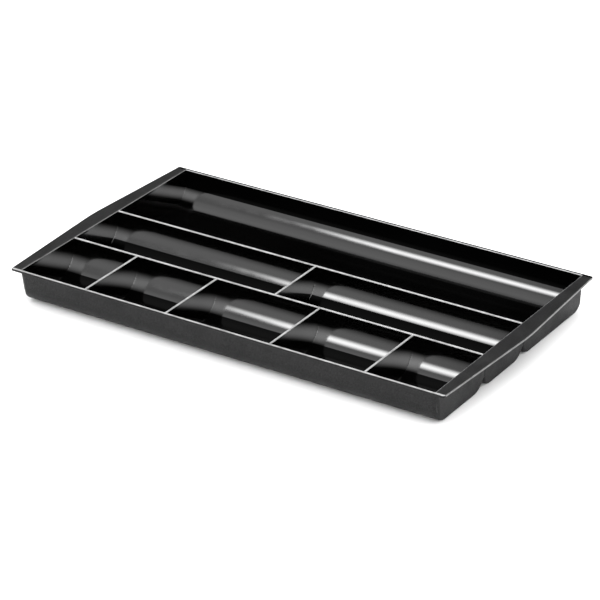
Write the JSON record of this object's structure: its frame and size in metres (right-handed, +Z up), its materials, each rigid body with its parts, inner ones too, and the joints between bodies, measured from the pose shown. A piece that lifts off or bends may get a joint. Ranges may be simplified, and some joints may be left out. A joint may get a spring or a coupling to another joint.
{
  "type": "drawer tray",
  "caption": "Shallow one-piece moulded drawer tray with scooped troughs, thin dividers and a flat flange at each end.",
  "frame": {"origin": "middle of the bounding box, on the plane of the tray's underside", "axes": "+X to the right along the troughs, +Y towards the back, where the undivided trough is, +Z up out of the open top"},
  "size_m": [0.415, 0.239, 0.03],
  "materials": {
    "gloss_interior": "high-gloss black moulded polystyrene, mirror-like in the troughs",
    "grained_exterior": "fine-grained satin black on the outer walls, rims and end flanges"
  },
  "bodies": {
    "root": {"front_floor": "gloss_interior", "middle_floor": "gloss_interior", "rear_floor": "gloss_interior", "front_partition_foot": "gloss_interior", "front_partition": "gloss_interior", "rear_partition_foot": "gloss_interior", "rear_partition": "gloss_interior", "back_cove": "gloss_interior", "back_wall": "gloss_interior", "front_divider_1": "gloss_interior", "front_divider_2": "gloss_interior", "front_divider_3": "gloss_interior", "front_divider_4": "gloss_interior", "middle_divider": "gloss_interior", "front_cove": "grained_exterior", "front_wall": "grained_exterior", "front_rim": "grained_exterior", "back_rim": "grained_exterior", "left_end_wall": "grained_exterior", "right_end_wall": "grained_exterior", "left_flange": "grained_exterior", "right_flange": "grained_exterior"}
  },
  "joints": []
}
